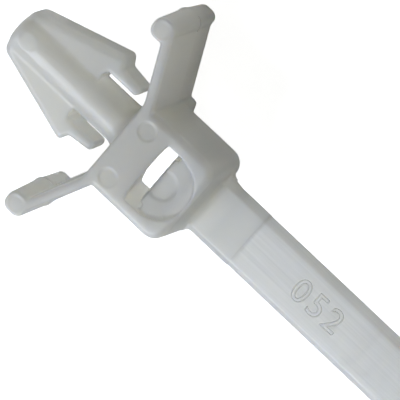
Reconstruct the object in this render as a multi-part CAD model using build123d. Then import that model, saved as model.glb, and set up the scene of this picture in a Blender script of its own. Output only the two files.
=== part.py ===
from build123d import *
import os
from math import asin, atan2, cos, radians, sin, sqrt, tan

# A push-in cable tie, moulded in one piece of natural nylon.
# Frame: +X runs along the strap from the head to its tip, and the arrow points to -X.
# +Z is the smooth outer side, where the tail leaves the head; -Z is the toothed side.
# Z = 0 is the middle of the strap's thickness. The origin lies on the arrow's axis, in
# the plane where the wings' feet press on the panel. All sizes are in millimetres.

# Mould
draft_up = 1.0              # draft of the wings above the parting plane, degrees
arm_draft_down = 3.2        # draft of the arms below it
foot_draft_down = 2.2       # draft of the feet below it
pin_mark_r = 0.7            # radius of an ejector pin mark
pin_mark_depth = 0.06
overlap = 0.3               # how far joined solids reach into each other
same = 0.01                 # places closer than this count as one
upright = 0.8               # least rise along an edge that counts as upright

# Arrow
nose_x = -7.54              # front of the nose
nose_bow = 0.1              # how far the nose's shoulders stand back from its front
nose_r = 1.82               # half width at the nose's shoulders
nose_corner_r = 0.8         # rounding of the shoulders, seen from above
nose_round = 0.6            # rounding of the trunk's front
trunk_crest = 1.93          # height of the trunk's crest above the strap's middle
trunk_low = 1.5             # depth of the trunk below it
trunk_half_w = 1.65         # half width of the trunk
trunk_blend = 0.6           # hollow rounding between the trunk's top and the barbs
barb_step_x = -0.36         # tip of the first barb step
barb_step_r = 3.97          # half width over the first step
barb_notch_x = 0.05         # foot of the first step
barb_notch_r = 3.16         # half width at the foot of the first step
barb_end_x = 1.95           # end of the barb leg
barb_end_r = 2.92           # half width at the end of the leg
barb_h = 1.35               # half thickness of the barbs, along Z
barb_round = 0.58           # rounding of the outer edges up to the step
leg_round = 0.4             # rounding of the outer edges behind the step
barb_tip_r = 0.3            # rounding of the step's tip, seen from above
barb_hollow_r = 0.25        # hollow rounding at the foot of the step
leg_end_r = 0.3             # rounding of the legs' ends
slit_side_r = 2.25          # half width of the space between the legs
slit_round = 0.25           # rounding of the legs' inner edges
slit_root_x = -0.75         # closed end of the slits, on the smooth side
slit_low_x = -0.05          # the same on the toothed side
nose_mark_x = -6.2          # pin mark on the nose
edge_search = 0.35          # how near an edge's middle lies to the place looked at

# Wings
wing_top = 4.65             # half length of the wings' feet, along Z
foot_x = 0.0                # panel side of the feet
foot_w = 1.9                # foot, along X
foot_t = 1.8                # foot, along Y
foot_y = 8.12               # centre line of a foot
foot_round = 0.76           # rounding of the feet, seen from above
foot_edge = 0.16            # rounding of the feet's ends
foot_mark_r = 0.6           # pin marks on the feet's ends
arm_t = 0.95                # arm, at the parting plane
arm_root_x = 3.12           # panel side of the web between the arms
arm_bend_y = 3.35           # where the arm turns away from the web
arm_tip_x = 0.89            # panel side of the arm, at the centre line of the foot
arm_fillet = 1.6            # hollow curve on the panel side of each arm
arm_edge = 0.22             # rounding of the arms' long edges
web_t = 1.2                 # web behind the arrow, at the head's level
web_foot_x = 4.6            # back of the web at its lower end
web_top_inset = 0.01        # how far the web's thick root stands in from the head's sides
web_low_inset = 0.31        # the same at its lower end
web_corner_r = 0.3          # corners of the root

# Head
head_top = 4.65
head_bottom = -1.5
head_wall = 0.76            # wall beside the slot, at the bottom
head_draft = 0.15           # draft of the sides, degrees
head_back_top_x = 10.05     # strap side of the head, at the top
head_back_low_x = 10.3      # strap side of the head, at the strap
head_corner_r = 1.15        # corners on the strap side
head_edge_r = 0.55          # rounding of the top edges
root_hollow = 0.5           # hollow curves between head and strap
hollow_sag = 0.3            # how deep those curves are, as a share of their size
ramp_len = 1.8              # ramp under the strap's root

# Slot and pawl
slot_room_top = 0.075       # room on each side of the tail where it leaves
slot_room_low = 0.375       # room on each side of the tail where it enters
abutment_top_x = 6.27       # slot wall that the tail slides on
abutment_low_x = 5.35
bow_len = 1.0               # how far the abutment's bowed ends reach along Y
bow_top = 0.08              # how far they stand out, at the top
bow_low = 0.27              # how far they stand out, at the bottom
slot_back_top_x = 9.3       # opposite wall, behind the pawl
slot_back_low_x = 8.1
pocket_inset = 0.05         # how far the round pocket's sides stand in from the slot's
pocket_low_inset = 0.5      # how much narrower the pocket is at its floor, all round
pocket_depth = 0.75
pawl_x = 7.17               # tip of the pawl
pawl_side_gap = 0.5         # room on each side of the pawl
pawl_top = 4.3
pawl_t = 1.68               # thickness of the pawl at its top
pawl_root_z = -0.5          # middle of the hinge
hinge_t = 0.8               # thickness of the hinge
pawl_teeth = 3
pawl_mark_r = 1.1
pawl_mark_back = 0.55       # centre of the mark and of the pocket, behind the pawl's tip
pawl_lean = 0.12            # lean of the pawl's toothed front
pawl_tip_h = 0.45           # height of the pawl's tip above its teeth
pawl_tooth_depth = 0.35
pawl_tooth_flat = 0.1       # flat at the tip and at the foot of each tooth of the pawl
pawl_back_gap = 0.35        # room behind the pawl to bend
head_mark_x = 4.62          # pin marks on the head's top
head_mark_y = 2.17

# Strap
strap_w = 4.75
strap_t = 1.3
strap_bevel = 0.5           # bevels of the smooth side
strap_edge = 0.15           # upright edge between the bevels
strap_under_bevel = 0.28    # bevels of the toothed side
root_x = 14.2               # end of the thicker strap root
root_rise = 0.03            # how far the root stands above the strap, all round
strap_end_x = 148.0         # tip of the tail
tail_len = 14.0             # tapered tail
tip_w = 2.3                 # width of the tip
tip_t = 0.9                 # thickness of the tip
tip_round = 0.4             # rounding of the tip, as a share of its width
tooth_pitch = 1.2
tooth_depth = 0.45
teeth_w = 3.3               # width of the toothed groove
teeth_from_x = 24.0         # first tooth
tooth_flat = 0.12           # flat at the root of each tooth
grip_from_tip = 2.5         # first grip rib, from the tip of the tail
grip_pitch = 1.5
grip_w = 1.0
grip_h = 0.2
grip_count = 5
grip_share = 0.7            # length of a rib across the tail, as a share of the tip's width


def mirrored(shape):
    """A shape and its mirror image across the plane Y = 0."""
    return shape + mirror(shape, Plane.XZ)


def side_profile(points, width):
    """A closed outline in X and Z, given width along Y, centred on Y = 0."""
    outline = make_face(Polyline(*[(x, 0, z) for x, z in points], close=True))
    return extrude(outline, amount=width / 2, dir=(0, 1, 0), both=True)


def round_edges(solid, radius, wanted):
    """Fillet the edges for which wanted(edge) is true."""
    edges = [e for e in solid.edges() if wanted(e)]
    return fillet(edges, radius)


def trunk():
    """Stem of the arrow: oval section with a rounded front, running back into the web."""
    middle = (trunk_crest - trunk_low) / 2
    front = Plane((nose_x, 0, middle), x_dir=(0, 1, 0), z_dir=(1, 0, 0))
    oval = front * Ellipse(trunk_half_w, (trunk_crest + trunk_low) / 2)
    stem = extrude(oval, amount=arm_root_x + web_t / 2 - nose_x)
    return round_edges(stem, nose_round, lambda e: e.center().X < nose_x + edge_search)


def barb_plate():
    """Arrow outline with a stepped barb on each side and a slit beside the trunk."""
    half = make_face(Polyline(
        (nose_x, 0), (nose_x + nose_bow, nose_r), (barb_step_x, barb_step_r),
        (barb_notch_x, barb_notch_r), (barb_end_x, barb_end_r), (barb_end_x, slit_side_r),
        (slit_root_x, slit_side_r), (slit_root_x, 0), close=True))
    shoulder = half.vertices().sort_by_distance((nose_x + nose_bow, nose_r, 0))[0]
    half = fillet(shoulder, nose_corner_r)
    plate = extrude(half, amount=barb_h, both=True)
    plate = round_edges(plate, barb_round, is_flank_edge)
    plate = round_edges(plate, leg_round, is_leg_edge)
    plate = round_edges(plate, slit_round, is_slit_edge)
    plate = round_edges(plate, barb_tip_r, lambda e: is_upright_at(e, barb_step_x, barb_step_r))
    plate = round_edges(plate, barb_hollow_r, lambda e: is_upright_at(e, barb_notch_x, barb_notch_r))
    plate = round_edges(plate, leg_end_r, lambda e: is_upright_at(e, barb_end_x, barb_end_r))
    return mirrored(plate)


def is_upright_at(edge, x, y):
    """Whether an edge stands upright near x, y."""
    middle = edge.center()
    near = abs(middle.X - x) + abs(middle.Y - y) < edge_search
    return near and abs(edge.tangent_at(0.5).Z) > upright


def is_flank_edge(edge):
    """The long outer edges from the nose's shoulder to the first step, above and below."""
    middle = edge.center()
    long_one = edge.length > abs(nose_x) / 2
    return long_one and abs(middle.Z) > barb_h - same and middle.Y > slit_side_r


def is_leg_edge(edge):
    """The outer edges of the leg behind the step, above and below."""
    return is_plate_edge(edge, (barb_notch_x + barb_end_x) / 2, (barb_notch_r + barb_end_r) / 2)


def is_slit_edge(edge):
    """The leg's inner edges along the slit, above and below."""
    return is_plate_edge(edge, (slit_root_x + barb_end_x) / 2, slit_side_r)


def is_plate_edge(edge, x, y):
    """Whether an edge lies on the plate's upper or lower face with its middle near x, y."""
    middle = edge.center()
    near = abs(middle.X - x) + abs(middle.Y - y) < edge_search
    return near and abs(middle.Z) > barb_h - same


def arrow():
    """Trunk and barbs with the flat pin mark on the nose."""
    level = trunk_crest - pin_mark_depth
    pad = Pos(nose_mark_x, 0, 0) * Cylinder(
        pin_mark_r, level, align=(Align.CENTER, Align.CENTER, Align.MIN))
    body = round_edges(trunk() + barb_plate(), trunk_blend, is_crease_edge) + slit_ends()
    return body - pin_mark(nose_mark_x, 0, trunk_crest, pin_mark_r) + pad


def is_crease_edge(edge):
    """The long lines where the barbs' upper face meets the trunk."""
    middle = edge.center()
    long_one = edge.length > abs(nose_x) / 2
    return long_one and abs(middle.Z - barb_h) < same and abs(middle.Y) < trunk_half_w


def slit_ends():
    """Sloping ends of the slits, longer on the toothed side."""
    back = slit_root_x - overlap
    return side_profile([
        (back, barb_h), (slit_root_x, barb_h), (slit_low_x, -barb_h), (back, -barb_h)], slit_side_r * 2)


def arm_plan():
    """Outline of one arm with its half of the web, at the parting plane."""
    run = foot_y - arm_bend_y
    angle = atan2(arm_root_x - arm_tip_x, run)
    across = arm_t / cos(angle)
    web_back_x = arm_root_x + web_t
    arm = make_face(Polyline(
        (arm_root_x, -web_t), (arm_root_x, arm_bend_y), (arm_tip_x, arm_bend_y + run),
        (arm_tip_x + across, arm_bend_y + run),
        (web_back_x, arm_bend_y - (web_t - across) / tan(angle)), (web_back_x, -web_t), close=True))
    bend = arm.vertices().sort_by_distance((arm_root_x, arm_bend_y, 0))[0]
    return fillet(bend, arm_fillet)


def foot_plan():
    """Outline of one foot, nearly round."""
    return Pos(foot_x + foot_w / 2, foot_y) * RectangleRounded(foot_w, foot_t, foot_round)


def parting_z():
    """Height of the parting plane, which is the toothed side of the strap."""
    return -strap_t / 2


def drafted(plan, angle_down):
    """A wing outline given its length along Z, with draft both ways from the parting plane."""
    upper = draft_half(plan, wing_top - parting_z(), draft_up)
    lower = draft_half(plan, wing_top + parting_z(), angle_down)
    return Pos(0, 0, parting_z()) * (upper + mirror(lower, Plane.XY))


def draft_half(plan, height, angle):
    """A plan raised to a height, shrinking by the draft angle."""
    small = offset(plan, amount=-height * tan(radians(angle)), kind=Kind.INTERSECTION)
    return loft([plan.face(), Pos(0, 0, height) * small.face()], ruled=True)


def wings():
    """Web, arms and feet, drafted each way from the parting plane."""
    foot = round_edges(drafted(foot_plan(), foot_draft_down), foot_edge, is_wing_end)
    arm = round_edges(drafted(arm_plan(), arm_draft_down), arm_edge, is_arm_edge)
    return mirrored(arm + foot)


def is_wing_end(edge):
    """An edge round the upper or lower end of a foot or an arm."""
    return abs(edge.center().Z) > wing_top - same


def is_arm_edge(edge):
    """The long edges of an arm at its upper and lower ends."""
    middle = edge.center()
    return is_wing_end(edge) and edge.length > foot_w and middle.Y > arm_bend_y


def top_marks():
    """Pin marks on the smooth side of the feet and of the head."""
    on_foot = pin_mark(foot_x + foot_w / 2, foot_y, wing_top, foot_mark_r)
    on_head = pin_mark(head_mark_x, head_mark_y, head_top, pin_mark_r)
    return mirrored(on_foot + on_head)


def pin_mark(x, y, z, radius):
    """A shallow round recess below the level z, to be cut away."""
    return Pos(x, y, z - pin_mark_depth) * Cylinder(
        radius, 1, align=(Align.CENTER, Align.CENTER, Align.MIN))


def head_w():
    """Width of the head at the bottom."""
    return strap_w + slot_room_low * 2 + head_wall * 2


def head_block():
    """Outside of the head: drafted box, leaning strap side, rounded edges."""
    front = arm_root_x + overlap
    far = head_back_low_x + head_corner_r
    plan = Pos((front + far) / 2, 0, head_bottom) * Rectangle(far - front, head_w())
    box = extrude(plan, amount=head_top - head_bottom, taper=head_draft)
    lean = side_profile([
        (front - 1, head_bottom - 1), (head_back_low_x, head_bottom - 1),
        (head_back_low_x, strap_t / 2), (head_back_top_x, head_top),
        (head_back_top_x, head_top + 1), (front - 1, head_top + 1)], head_w() * 2)
    block = box & lean
    block = round_edges(block, head_corner_r, is_head_corner)
    return round_edges(block, head_edge_r, is_head_top_edge)


def is_head_corner(edge):
    """The upright edges at the strap end of the head."""
    middle = edge.center()
    outer = abs(middle.Y) > slot_w_top() / 2 and middle.X > slot_back_top_x
    return outer and abs(edge.tangent_at(0.5).Z) > upright


def is_head_top_edge(edge):
    """The edges round the head's top face, but not the one inside the web."""
    middle = edge.center()
    outer = abs(middle.Y) > slot_w_top() / 2 or middle.X > slot_back_top_x
    return middle.Z > head_top - same and outer


def web_root():
    """Thick root of the web below the head, sloping and narrowing to its lower end."""
    low = web_section(web_foot_x, head_w() - web_low_inset * 2, -wing_top)
    high = web_section(abutment_low_x, head_w() - web_top_inset * 2, head_bottom)
    top = web_section(abutment_low_x, head_w() - web_top_inset * 2, head_bottom + overlap)
    return loft([low, high], ruled=True) + loft([high, top], ruled=True)


def web_section(back_x, width, z):
    """Level section of the web's root, with rounded corners."""
    front_x = arm_root_x + overlap
    section = RectangleRounded(back_x - front_x, width, web_corner_r)
    return (Pos((front_x + back_x) / 2, 0, z) * section).face()


def slot():
    """Tapering way through the head for the tail, round at the back."""
    return loft([slot_section(head_bottom - 1), slot_section(head_top + 1)], ruled=True)


def slot_w_top():
    """Width of the slot where the tail leaves."""
    return strap_w + slot_room_top * 2


def slot_section(z):
    """Section of the slot at height z: bowed abutment, upright sides and a round back."""
    half = at_height(z, strap_w / 2 + slot_room_low, slot_w_top() / 2)
    abutment = at_height(z, abutment_low_x, abutment_top_x)
    bowed = abutment + at_height(z, bow_low, bow_top)
    centre = pawl_mark_x()
    reach = min(slot_back_x(z) - centre, half - same)
    back = centre + reach
    back_half = sqrt(half ** 2 - reach ** 2)
    turn = asin(reach / half) / 2
    bend = (centre + half * sin(turn), half * cos(turn))
    sides = Polyline(
        (centre, -half), (bowed, -half), (abutment, bow_len - half), (abutment, half - bow_len),
        (bowed, half), (centre, half))
    outline = [
        sides, ThreePointArc((centre, half), bend, (back, back_half)),
        Line((back, back_half), (back, -back_half)),
        ThreePointArc((back, -back_half), (bend[0], -bend[1]), (centre, -half))]
    return (Pos(0, 0, z) * make_face(outline)).face()


def at_height(z, low, top):
    """A size that changes evenly from low, at the head's bottom, to top, at its top."""
    return low + (top - low) * (z - head_bottom) / (head_top - head_bottom)


def slot_back_x(z):
    """Slot wall behind the pawl, at height z."""
    return at_height(z, slot_back_low_x, slot_back_top_x)


def pocket():
    """Round pocket about the pawl, narrower at its floor."""
    top_r = slot_w_top() / 2 - pocket_inset
    above = 1
    grown_r = top_r + pocket_low_inset * above / pocket_depth
    disc = Pos(pawl_mark_x(), 0, head_top - pocket_depth) * Cone(
        top_r - pocket_low_inset, grown_r, pocket_depth + above,
        align=(Align.CENTER, Align.CENTER, Align.MIN))
    room = Pos(pawl_x, 0, head_top) * Box(
        grown_r * 2, grown_r * 2, head_top, align=(Align.MIN, Align.CENTER, Align.CENTER))
    return disc & room


def pawl_mark_x():
    """Centre of the round mark on the pawl, and of the pocket about it."""
    return pawl_x + pawl_mark_back


def pawl():
    """Tongue hinged low on the strap side of the slot, toothed towards the tail."""
    hinge_low = pawl_root_z - hinge_t / 2
    hinge_high = pawl_root_z + hinge_t / 2
    wall = slot_back_x(pawl_root_z) + overlap
    back_low_x = slot_back_x(hinge_high) - pawl_back_gap
    points = [
        (pawl_x, pawl_top), (pawl_x + pawl_t, pawl_top), (back_low_x, hinge_high), (wall, hinge_high),
        (wall, hinge_low), (pawl_front_x(hinge_low) + pawl_tooth_depth, hinge_low)]
    points += pawl_tooth_points()
    body = side_profile(points, slot_w_top() - pawl_side_gap * 2)
    return body - pin_mark(pawl_mark_x(), 0, pawl_top, pawl_mark_r)


def pawl_front_x(z):
    """Line of the pawl's tooth tips, which leans a little under its tip."""
    return pawl_x - pawl_lean * (pawl_top - z)


def pawl_tooth_points():
    """Saw-tooth front of the pawl from the lowest tooth up to the tip."""
    points = []
    for i in range(pawl_teeth, 0, -1):
        z = pawl_top - pawl_tip_h - i * tooth_pitch
        points.append((pawl_front_x(z) + pawl_tooth_depth, z + pawl_tooth_flat))
        points.append((pawl_front_x(z + tooth_pitch), z + tooth_pitch - pawl_tooth_flat))
    last = pawl_top - pawl_tip_h
    points.append((pawl_front_x(last) + pawl_tooth_depth, last + pawl_tooth_flat))
    return points


def head():
    """Head with its slot, pocket and pawl."""
    return head_block() - slot() - pocket() + pawl()


def strap_section(grow):
    """Cross-section of the strap, enlarged all round by grow, in the plane X = 0."""
    half = strap_w / 2 + grow
    top = strap_t / 2 + grow
    low = -strap_t / 2 - grow
    right = [(half - strap_bevel, top), (half, top - strap_bevel), (half, top - strap_bevel - strap_edge),
             (half - strap_under_bevel, low)]
    left = [(-y, z) for y, z in reversed(right)]
    return make_face(Polyline(*[(0, y, z) for y, z in right + left], close=True))


def strap_plan():
    """Outline of the strap seen from above, with its tapered tail and round tip."""
    shoulder = strap_end_x - tail_len
    half = strap_w / 2
    plan = make_face(Polyline(
        (strap_start_x(), half), (shoulder, half), (strap_end_x, tip_w / 2),
        (strap_end_x, -tip_w / 2), (shoulder, -half), (strap_start_x(), -half), close=True))
    tips = [v for v in plan.vertices() if v.X > strap_end_x - same]
    plan = fillet(tips, tip_w * tip_round)
    return extrude(plan, amount=strap_t, both=True)


def strap_start_x():
    """Where the strap begins, inside the head's wall."""
    return head_back_top_x - overlap * 2


def strap():
    """Bevelled strap with its thicker root, toothed underside and tapered tail."""
    start = strap_start_x()
    band = extrude(Pos(start, 0, 0) * strap_section(0), amount=strap_end_x - start + 1, dir=(1, 0, 0))
    band = band & strap_plan()
    root = extrude(Pos(start, 0, 0) * strap_section(root_rise), amount=root_x - start, dir=(1, 0, 0))
    return band + root + root_ramp() + root_hollows() - tooth_cut() - tail_cut() + grip_ribs()


def root_ramp():
    """Ramp under the root, from the head's bottom to the strap's toothed side."""
    start = strap_start_x()
    return side_profile([
        (start, head_bottom), (head_back_low_x, head_bottom),
        (head_back_low_x + ramp_len, -strap_t / 2), (start, overlap - strap_t / 2)],
        strap_w - strap_under_bevel * 2)


def root_hollows():
    """Hollow curves that join the strap's face and its two edges to the head."""
    top = hollow_corner(head_back_low_x, strap_t / 2 + root_rise, overlap)
    across = extrude(Plane.XZ * top, amount=strap_w / 2 - strap_bevel, both=True)
    side = hollow_corner(head_back_low_x, strap_w / 2 + root_rise, overlap + head_corner_r)
    flank = Pos(0, 0, -strap_t / 2) * extrude(side, amount=strap_t - strap_bevel)
    return across + mirrored(flank)


def hollow_corner(x, y, reach):
    """Filled inside corner between a wall at x and a face at y, reaching into the wall."""
    sag = root_hollow * hollow_sag
    curve = ThreePointArc((x, y + root_hollow), (x + sag, y + sag), (x + root_hollow, y))
    inside = Polyline((x + root_hollow, y), (x + root_hollow, y - overlap), (x - reach, y - overlap),
                      (x - reach, y + root_hollow), (x, y + root_hollow))
    return make_face(curve + inside)


def tooth_cut():
    """Saw-tooth groove in the underside: each tooth is steep on its head side."""
    low = -strap_t / 2
    count = int((strap_end_x - tail_len - teeth_from_x) / tooth_pitch)
    points = [(teeth_from_x, low - 1)]
    for i in range(count):
        x = teeth_from_x + i * tooth_pitch
        points.append((x, low))
        points.append((x + tooth_pitch - tooth_flat * 2, low + tooth_depth))
        points.append((x + tooth_pitch - tooth_flat, low + tooth_depth))
    points.append((teeth_from_x + count * tooth_pitch, low))
    points.append((teeth_from_x + count * tooth_pitch, low - 1))
    return side_profile(points, teeth_w)


def tail_cut():
    """Wedge off the underside that thins the tail towards its tip."""
    low = -strap_t / 2
    shoulder = strap_end_x - tail_len
    return side_profile([
        (shoulder, low), (strap_end_x + 1, low + strap_t - tip_t), (strap_end_x + 1, low - 1),
        (shoulder, low - 1)], strap_w * 2)


def grip_ribs():
    """Small ribs across the smooth side of the tail."""
    face = strap_t / 2
    ribs = []
    for i in range(grip_count):
        x = strap_end_x - grip_from_tip - i * grip_pitch
        ribs.append(side_profile([
            (x - grip_w / 2, face - overlap), (x - grip_w / 2, face), (x, face + grip_h),
            (x + grip_w / 2, face), (x + grip_w / 2, face - overlap)], tip_w * grip_share))
    return ribs


def cable_tie():
    """The whole moulding."""
    body = wings() + web_root() + arrow() + head() + strap()
    return body - top_marks()


os.makedirs("parts", exist_ok=True)
tie = cable_tie()
print("valid", tie.is_valid, "solids", len(tie.solids()), "volume", tie.volume)
export_step(tie, "parts/cable_tie.step")
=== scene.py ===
import math

import bmesh
import bpy
from bpy.props import (
    FloatProperty, FloatVectorProperty, IntProperty, PointerProperty, StringProperty)
from mathutils import Matrix, Vector


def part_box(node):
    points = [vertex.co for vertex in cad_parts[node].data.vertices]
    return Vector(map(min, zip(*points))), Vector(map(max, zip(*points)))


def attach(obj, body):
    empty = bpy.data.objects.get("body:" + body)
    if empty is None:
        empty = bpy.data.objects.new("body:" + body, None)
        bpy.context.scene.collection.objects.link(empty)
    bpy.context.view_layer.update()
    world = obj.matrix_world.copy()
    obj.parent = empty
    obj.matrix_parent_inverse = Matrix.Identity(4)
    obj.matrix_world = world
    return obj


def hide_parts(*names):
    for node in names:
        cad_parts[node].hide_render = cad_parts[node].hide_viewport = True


bl_info = {
    "name": "Push-mount cable tie",
    "version": (1, 0, 0),
    "blender": (4, 5, 0),
    "location": "3D View > Sidebar > Cable Tie",
    "description": "Builds the looks of a one-piece nylon cable tie round its packed solid",
    "category": "Add Mesh",
}

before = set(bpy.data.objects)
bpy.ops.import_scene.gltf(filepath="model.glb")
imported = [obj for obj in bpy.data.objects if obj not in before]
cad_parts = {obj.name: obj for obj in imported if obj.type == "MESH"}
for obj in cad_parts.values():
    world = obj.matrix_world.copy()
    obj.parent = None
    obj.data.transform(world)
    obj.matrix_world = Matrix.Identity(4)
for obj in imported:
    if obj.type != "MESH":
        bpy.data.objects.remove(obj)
CAD_LOW, CAD_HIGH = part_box("cable_tie")
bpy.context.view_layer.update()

# The meshes are worked out in millimetres and turned to metres when they are finished.
MM = 0.001

# How far meshes lap into each other before they become one skin, in millimetres.
LAP = 0.4

# Points of the solid nearer to each other than this, in millimetres, are one point.
SAME_POINT = 0.0005

# Corners of the round section of a bead or a raised line, and the distance in millimetres from
# point to point along it.
ROUND_CORNERS = 8
BEAD_STEP = 0.12
DIGIT_STEP = 0.04


def linear(hex_colour):
    """An sRGB hex colour as linear red, green, blue and alpha."""
    parts = [int(hex_colour[i:i + 2], 16) / 255 for i in (1, 3, 5)]
    light = [c / 12.92 if c <= 0.04045 else ((c + 0.055) / 1.055) ** 2.4 for c in parts]
    return (*light, 1.0)


# Sizes and colours that can be set.


class TieMouldingSettings(bpy.types.PropertyGroup):
    """Sizes of the moulding's mesh."""

    cell: FloatProperty(
        name="Mesh Cell", description="Cell of the mesh, about the radius of the softened edges",
        default=0.08 * MM, min=0.04 * MM, unit="LENGTH", subtype="DISTANCE", precision=6)
    smoothing: IntProperty(
        name="Smoothing", description="Passes that soften the moulded edges", default=4, min=0)
    triangles: IntProperty(
        name="Triangles", description="Most triangles of the finished moulding",
        default=185000, min=10000)
    seam_x: FloatProperty(
        name="Strap Start",
        description="Where the strap made here takes over from the solid's head end",
        default=16.0 * MM, unit="LENGTH", subtype="DISTANCE", precision=6)
    slit_end: FloatProperty(
        name="Slit End", description="Closed end of the slits beside the trunk",
        default=-0.85 * MM, unit="LENGTH", subtype="DISTANCE", precision=6)
    slit_side: FloatProperty(
        name="Slit Side", description="Distance of the cut's outer side from the middle",
        default=2.12 * MM, unit="LENGTH", subtype="DISTANCE", precision=6)
    slit_open: FloatProperty(
        name="Slit Opening", description="Where the part of the slits that is cut here ends",
        default=0.1 * MM, unit="LENGTH", subtype="DISTANCE", precision=6)
    slit_inner: FloatProperty(
        name="Slit Inner Side", description="Inner side of that cut, inside the trunk",
        default=0.45 * MM, unit="LENGTH", subtype="DISTANCE", precision=6)
    trunk_width: FloatProperty(
        name="Trunk Width", description="Width of the arrow's trunk", default=3.3 * MM,
        unit="LENGTH", subtype="DISTANCE", precision=6)
    trunk_top: FloatProperty(
        name="Trunk Top", description="Height of the trunk's crest", default=1.93 * MM,
        unit="LENGTH", subtype="DISTANCE", precision=6)
    trunk_low: FloatProperty(
        name="Trunk Bottom", description="Lowest line of the trunk", default=-1.5 * MM,
        unit="LENGTH", subtype="DISTANCE", precision=6)
    trunk_lap: FloatProperty(
        name="Trunk Lap", description="How far the trunk reaches past the slits' closed ends",
        default=0.5 * MM, unit="LENGTH", subtype="DISTANCE", precision=6)
    web_x: FloatProperty(
        name="Web", description="Where the trunk ends, just inside the web", default=3.15 * MM,
        unit="LENGTH", subtype="DISTANCE", precision=6)
    flare: FloatProperty(
        name="Flare", description="Hollow rounding from the trunk to the web", default=1.0 * MM,
        unit="LENGTH", subtype="DISTANCE", precision=6)
    pocket_x: FloatProperty(
        name="Pocket", description="Middle of the round pocket about the pawl", default=7.72 * MM,
        unit="LENGTH", subtype="DISTANCE", precision=6)
    pocket_r: FloatProperty(
        name="Pocket Radius", description="Radius of the pocket at the pawl's top",
        default=2.3 * MM, unit="LENGTH", subtype="DISTANCE", precision=6)
    pawl_top: FloatProperty(
        name="Pawl Top", description="Height of the pawl's top", default=4.3 * MM,
        unit="LENGTH", subtype="DISTANCE", precision=6)
    pawl_back: FloatProperty(
        name="Pawl Back", description="Back of the pawl at its top", default=8.84 * MM,
        unit="LENGTH", subtype="DISTANCE", precision=6)
    pawl_half: FloatProperty(
        name="Pawl Half Width", description="Half of the pawl's width", default=1.94 * MM,
        unit="LENGTH", subtype="DISTANCE", precision=6)
    skin: FloatProperty(
        name="Skin", description="Thickness of the skin that closes the gap behind the pawl",
        default=0.45 * MM, unit="LENGTH", subtype="DISTANCE", precision=6)
    skin_length: FloatProperty(
        name="Skin Length", description="Length of that skin beside the pawl, from its back",
        default=1.3 * MM, unit="LENGTH", subtype="DISTANCE", precision=6)
    skin_side: FloatProperty(
        name="Skin Side", description="Distance of that skin's outer side from the middle",
        default=2.6 * MM, unit="LENGTH", subtype="DISTANCE", precision=6)


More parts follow.
